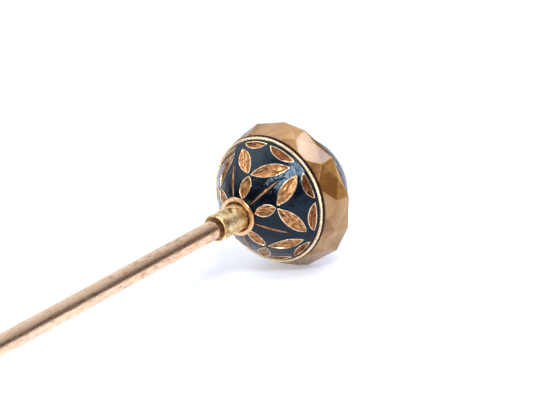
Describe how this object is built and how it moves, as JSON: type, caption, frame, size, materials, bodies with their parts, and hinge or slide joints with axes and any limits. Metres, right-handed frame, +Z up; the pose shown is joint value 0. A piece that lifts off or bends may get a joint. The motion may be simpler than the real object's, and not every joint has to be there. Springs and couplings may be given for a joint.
{
  "type": "hat pin",
  "caption": "Straight metal hat pin with a domed enamelled cup head, a leaf pattern in wire cells, a faceted stone ring and a clear crystal dome.",
  "frame": {"origin": "on the table, under the middle of the bounding box of the pin as it lies", "axes": "+Z up from the table, +X along the pin towards the head, seen from above"},
  "size_m": [0.1198, 0.013, 0.0129],
  "materials": {
    "gold_pin": "polished, fine drawn grain",
    "gold_collar": "pitted, tarnished",
    "gold_trim": "bright polished",
    "gold_leaf": "engraved",
    "solder": "dull",
    "cup_metal": "tarnished",
    "enamel": "glossy",
    "agate": "polished, translucent",
    "crystal": "polished",
    "foil": "dark backed foil",
    "cement": "matt"
  },
  "bodies": {
    "root": {"pin_shank": "gold_pin", "collar_tube": "gold_collar", "collar_patch": "gold_trim", "collar_solder": "solder", "foot_solder": "solder", "cup_shell": "cup_metal", "enamel_ground": "enamel", "inner_leaf_wires": "gold_trim", "outer_leaf_wires": "gold_trim", "rim_leaf_wires": "gold_trim", "stem_wires": "gold_leaf", "inner_leaf_inlays": "gold_leaf", "outer_leaf_inlays": "gold_leaf", "rim_leaf_inlays": "gold_leaf", "rim_wire": "gold_trim", "stone_ring": "agate", "crystal_dome": "crystal", "foil_disc": "foil", "cement_fill": "cement"}
  },
  "joints": []
}
